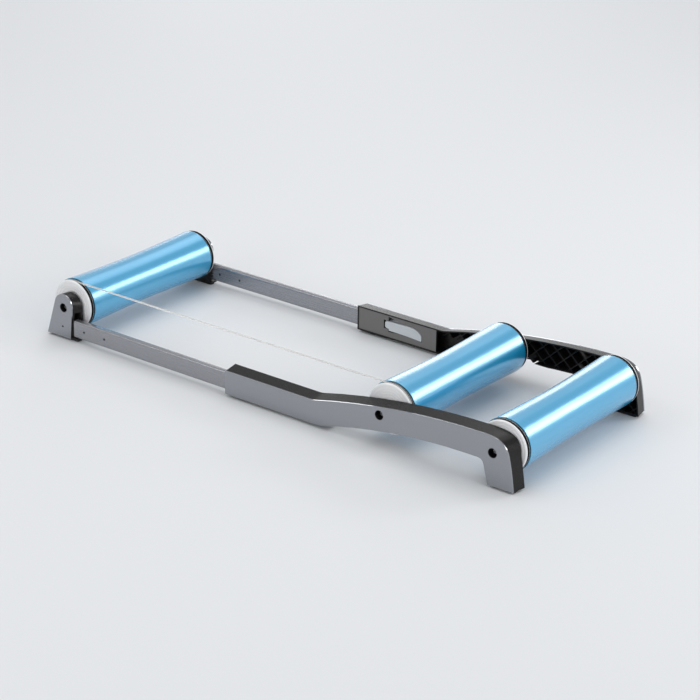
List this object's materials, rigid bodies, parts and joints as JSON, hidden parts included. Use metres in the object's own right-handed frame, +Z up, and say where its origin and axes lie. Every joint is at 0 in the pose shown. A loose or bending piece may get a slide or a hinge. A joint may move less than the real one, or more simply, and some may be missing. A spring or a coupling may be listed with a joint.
{
  "type": "bike rollers",
  "caption": "Indoor training rollers for a road bike: waisted drums in a pair of arched rails, with a belt-driven front drum on a telescopic front section that latches and slides in for storage.",
  "frame": {"origin": "under the middle of the part, on the floor, half way between the rear and front axles", "axes": "+X forward, from the rear roller to the front roller, +Y to the left, +Z up"},
  "size_m": [1.23, 0.476, 0.128],
  "materials": {
    "black_moulding": "black moulded plastic with a soft gloss",
    "grey_cover": "satin grey paint",
    "tube_paint": "satin grey paint",
    "drum_blue": "satin light blue",
    "cap_grey": "light grey moulded plastic, black in the belt groove",
    "latch_grey": "pale grey moulded plastic",
    "black_rubber": "matte",
    "steel": "turned",
    "black_steel": "black oxide",
    "clear_belt": "clear round polyurethane cord"
  },
  "bodies": {
    "rear_frame": {"rail_left": "black_moulding", "rail_right": "black_moulding", "rail_cover_left": "grey_cover", "rail_cover_right": "grey_cover", "rear_foot_left": "black_rubber", "rear_foot_right": "black_rubber", "sleeve_pad_left": "black_rubber", "sleeve_pad_right": "black_rubber", "latch_pin_left": "steel", "latch_pin_right": "steel", "rear_axle": "steel", "middle_axle": "steel", "rear_screw_left": "steel", "rear_screw_right": "steel", "middle_screw_left": "steel", "middle_screw_right": "steel", "drive_belt": "clear_belt"},
    "front_section": {"tube_left": "tube_paint", "tube_right": "tube_paint", "tube_pin_front_left": "black_steel", "tube_pin_front_right": "black_steel", "tube_pin_rear_left": "black_steel", "tube_pin_rear_right": "black_steel", "tube_plug_left": "black_moulding", "tube_plug_right": "black_moulding", "bracket_left": "black_moulding", "bracket_right": "black_moulding", "bracket_cover_left": "grey_cover", "bracket_cover_right": "grey_cover", "bracket_foot_left": "black_rubber", "bracket_foot_right": "black_rubber", "front_axle": "steel", "front_screw_left": "steel", "front_screw_right": "steel"},
    "rear_roller": {"rear_drum": "drum_blue", "rear_cap_left": "cap_grey", "rear_cap_right": "cap_grey", "rear_bearing_left": "steel", "rear_bearing_right": "steel"},
    "middle_roller": {"middle_drum": "drum_blue", "middle_cap_left": "cap_grey", "middle_cap_right": "cap_grey", "middle_bearing_left": "steel", "middle_bearing_right": "steel"},
    "front_roller": {"front_drum": "drum_blue", "front_cap_left": "cap_grey", "front_cap_right": "cap_grey", "front_bearing_left": "steel", "front_bearing_right": "steel"},
    "left_latch": {"latch_lever_left": "latch_grey"},
    "right_latch": {"latch_lever_right": "latch_grey"}
  },
  "joints": [
    {"name": "front_section_slide", "type": "slide", "parent": "rear_frame", "child": "front_section", "axis": [-1, 0, 0], "range_m": [-0.06, 0.42], "deforming": ["drive_belt"]},
    {"name": "rear_roller_spin", "type": "hinge", "parent": "rear_frame", "child": "rear_roller", "pos_m": [-0.56, 0, 0.073], "axis": [0, 1, 0], "continuous": true},
    {"name": "middle_roller_spin", "type": "hinge", "parent": "rear_frame", "child": "middle_roller", "pos_m": [-0.2945, 0, 0.073], "axis": [0, 1, 0], "continuous": true},
    {"name": "front_roller_spin", "type": "hinge", "parent": "front_section", "child": "front_roller", "pos_m": [0.56, 0, 0.073], "axis": [0, 1, 0], "continuous": true},
    {"name": "left_latch_swing", "type": "hinge", "parent": "rear_frame", "child": "left_latch", "pos_m": [0.0216, 0.2098, 0.036], "axis": [0, 0, 1], "range_deg": [0, 95]},
    {"name": "right_latch_swing", "type": "hinge", "parent": "rear_frame", "child": "right_latch", "pos_m": [0.0216, -0.2098, 0.036], "axis": [0, 0, -1], "range_deg": [0, 95]}
  ],
  "couplings": [
    {"joint": "front_roller_spin", "follows": "middle_roller_spin", "ratio": 1}
  ]
}
